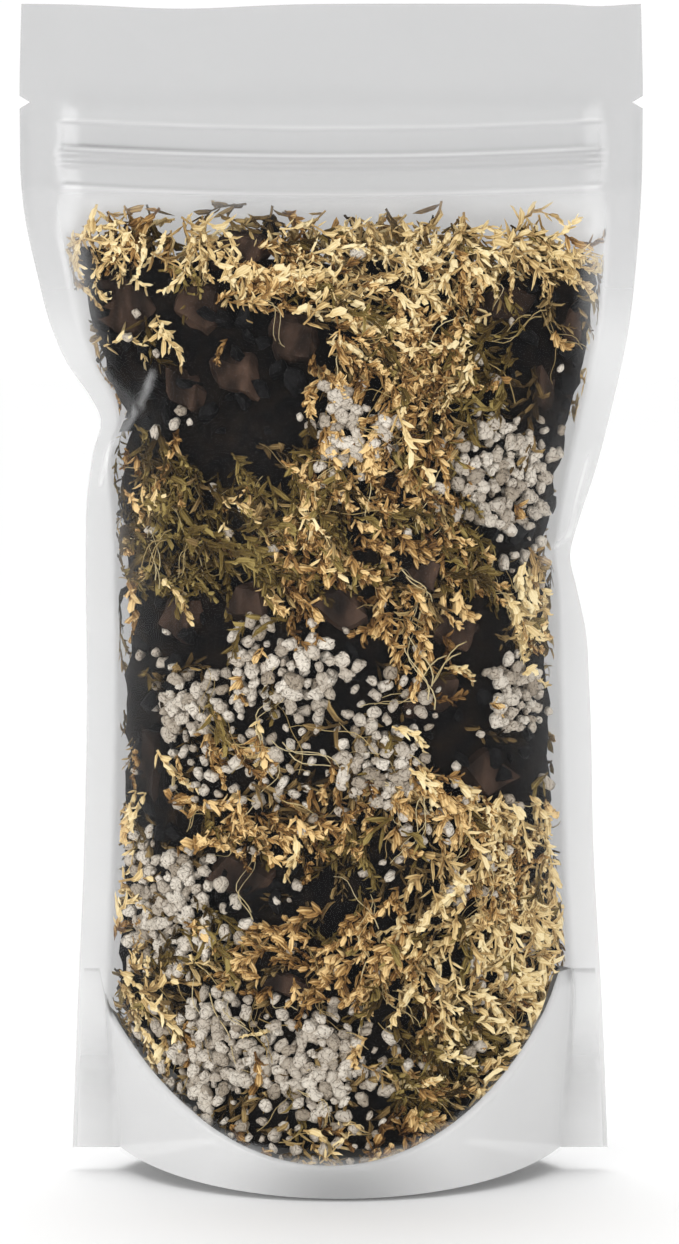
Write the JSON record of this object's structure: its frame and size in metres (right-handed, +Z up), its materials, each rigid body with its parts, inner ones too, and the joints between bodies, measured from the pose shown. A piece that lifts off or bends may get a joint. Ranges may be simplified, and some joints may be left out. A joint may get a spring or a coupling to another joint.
{
  "type": "filled stand-up pouch of moss and bark growing mix",
  "caption": "Clear-front stand-up pouch with a press zip, filled with dried moss, perlite and dark bark.",
  "frame": {"origin": "on the surface the pouch stands on, under the middle of its bounding box", "axes": "+Z up along the pouch's height, -Y out of its clear front, +X to the right seen from the front"},
  "size_m": [0.15, 0.0746, 0.285],
  "materials": {
    "clear_film": "clear glossy laminate with soft wrinkles",
    "milky_film": "milky translucent satin film",
    "zip": "translucent ribbed tape",
    "bark": "rough, very dark bark and charcoal",
    "perlite": "chalky off-white expanded grains, finely crinkled",
    "moss_bed": "dull brown dried moss threads and leaves",
    "moss_straw": "dull straw-coloured dried moss",
    "moss_olive": "dull olive dried moss",
    "moss_rust": "dull orange-brown dried moss"
  },
  "bodies": {
    "root": {"front_panel": "clear_film", "back_panel": "milky_film", "bottom_gusset": "milky_film", "zip_male": "zip", "zip_female": "zip", "moss_bed": "moss_bed", "moss_tuft_olive_01": "moss_olive", "moss_tuft_straw_02": "moss_straw", "moss_tuft_rust_03": "moss_rust", "moss_tuft_straw_04": "moss_straw", "moss_tuft_straw_05": "moss_straw", "moss_tuft_olive_06": "moss_olive", "perlite_cluster_01": "perlite", "perlite_cluster_02": "perlite", "perlite_cluster_03": "perlite", "perlite_cluster_04": "perlite", "perlite_cluster_05": "perlite", "perlite_cluster_06": "perlite", "perlite_cluster_07": "perlite", "perlite_cluster_08": "perlite", "perlite_cluster_09": "perlite", "perlite_cluster_10": "perlite", "perlite_cluster_11": "perlite", "perlite_cluster_12": "perlite", "perlite_cluster_13": "perlite", "bark_chip_01": "bark", "bark_chip_02": "bark", "bark_chip_03": "bark", "bark_chip_04": "bark", "bark_chip_05": "bark", "bark_chip_06": "bark", "bark_chip_07": "bark", "bark_chip_08": "bark", "bark_chip_09": "bark", "bark_chip_10": "bark", "bark_chip_11": "bark", "bark_chip_12": "bark", "bark_chip_13": "bark", "bark_chip_14": "bark", "bark_chip_15": "bark", "bark_chip_16": "bark", "bark_chip_17": "bark", "bark_chip_18": "bark", "bark_chip_19": "bark", "bark_chip_20": "bark", "bark_chip_21": "bark", "bark_chip_22": "bark", "bark_chip_23": "bark", "bark_chip_24": "bark", "bark_chip_25": "bark", "bark_chip_26": "bark", "bark_chip_27": "bark", "bark_chip_28": "bark", "bark_chip_29": "bark", "bark_chip_30": "bark"}
  },
  "joints": []
}
